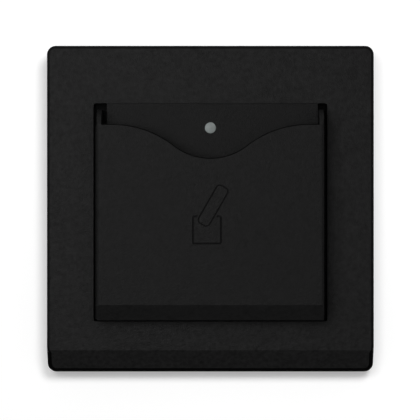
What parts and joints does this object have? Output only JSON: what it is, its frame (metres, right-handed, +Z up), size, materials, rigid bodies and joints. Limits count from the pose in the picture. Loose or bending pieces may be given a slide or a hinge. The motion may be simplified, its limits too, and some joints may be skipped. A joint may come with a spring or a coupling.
{
  "type": "hotel key card switch",
  "caption": "Wall switch for a hotel room: a key card pushed down into the pocket of a square cover frame swings a lever that closes the contacts of the insert in the wall box.",
  "frame": {"origin": "middle of the fixing slots, on the wall plane at the yoke's back face", "axes": "+Z up as installed, +X to the right seen from the room, +Y into the wall"},
  "size_m": [0.084, 0.043, 0.084],
  "materials": {
    "black_plastic": "fine matt grain",
    "lens_plastic": "translucent smoke grey",
    "lever_plastic": "smooth moulded",
    "base_plastic": "moulded thermoset",
    "cover_plastic": "moulded",
    "plunger_plastic": "smooth moulded",
    "lamp_plastic": "moulded",
    "lamp_epoxy": "clear cast",
    "resistor_body": "lacquered",
    "zinc_steel": "bright zinc plated sheet",
    "pin_steel": "ground",
    "screw_steel": "zinc plated",
    "spring_steel": "drawn wire",
    "terminal_brass": "stamped and bent",
    "contact_silver": "silver alloy"
  },
  "bodies": {
    "fitting": {"cover_frame": "black_plastic", "centre_plate": "black_plastic", "card_pocket": "black_plastic", "indicator_lens": "lens_plastic", "lever_axle": "pin_steel", "mounting_yoke": "zinc_steel", "switch_base": "base_plastic", "switch_cover": "cover_plastic", "terminal_cover": "base_plastic", "return_spring": "spring_steel", "line_terminal": "terminal_brass", "load_terminal": "terminal_brass", "neutral_terminal": "terminal_brass", "fixed_contacts": "contact_silver", "terminal_screws": "screw_steel", "cover_screws": "screw_steel", "yoke_rivets": "pin_steel", "lamp_holder": "lamp_plastic", "indicator_lamp": "lamp_epoxy", "lamp_resistor": "resistor_body", "lamp_pins": "terminal_brass", "claw_pins": "pin_steel", "claw_screws": "screw_steel"},
    "lever": {"card_lever": "lever_plastic"},
    "plunger": {"plunger": "plunger_plastic", "contact_spring": "spring_steel", "contact_bridge": "terminal_brass", "bridge_contacts": "contact_silver", "bridge_clip": "spring_steel"},
    "claw_left": {"claw_left": "zinc_steel"},
    "claw_right": {"claw_right": "zinc_steel"}
  },
  "joints": [
    {"name": "card_lever_pivot", "type": "hinge", "parent": "fitting", "child": "lever", "pos_m": [0, -0.0046, 0.006], "axis": [1, 0, 0], "range_deg": [0, 11], "stiffness_Nm_per_rad": 0.03, "springref_deg": -6.88},
    {"name": "plunger_push", "type": "slide", "parent": "fitting", "child": "plunger", "axis": [0, 1, 0], "range_m": [0, 0.00243], "deforming": ["return_spring"]},
    {"name": "claw_left_swing", "type": "hinge", "parent": "fitting", "child": "claw_left", "pos_m": [-0.0244, 0.0045, 0], "axis": [0, 0, 1], "range_deg": [0, 30]},
    {"name": "claw_right_swing", "type": "hinge", "parent": "fitting", "child": "claw_right", "pos_m": [0.0244, 0.0045, 0], "axis": [0, 0, -1], "range_deg": [0, 30]}
  ],
  "couplings": [
    {"joint": "card_lever_pivot", "follows": "plunger_push", "rad_per_m": 78.74}
  ]
}
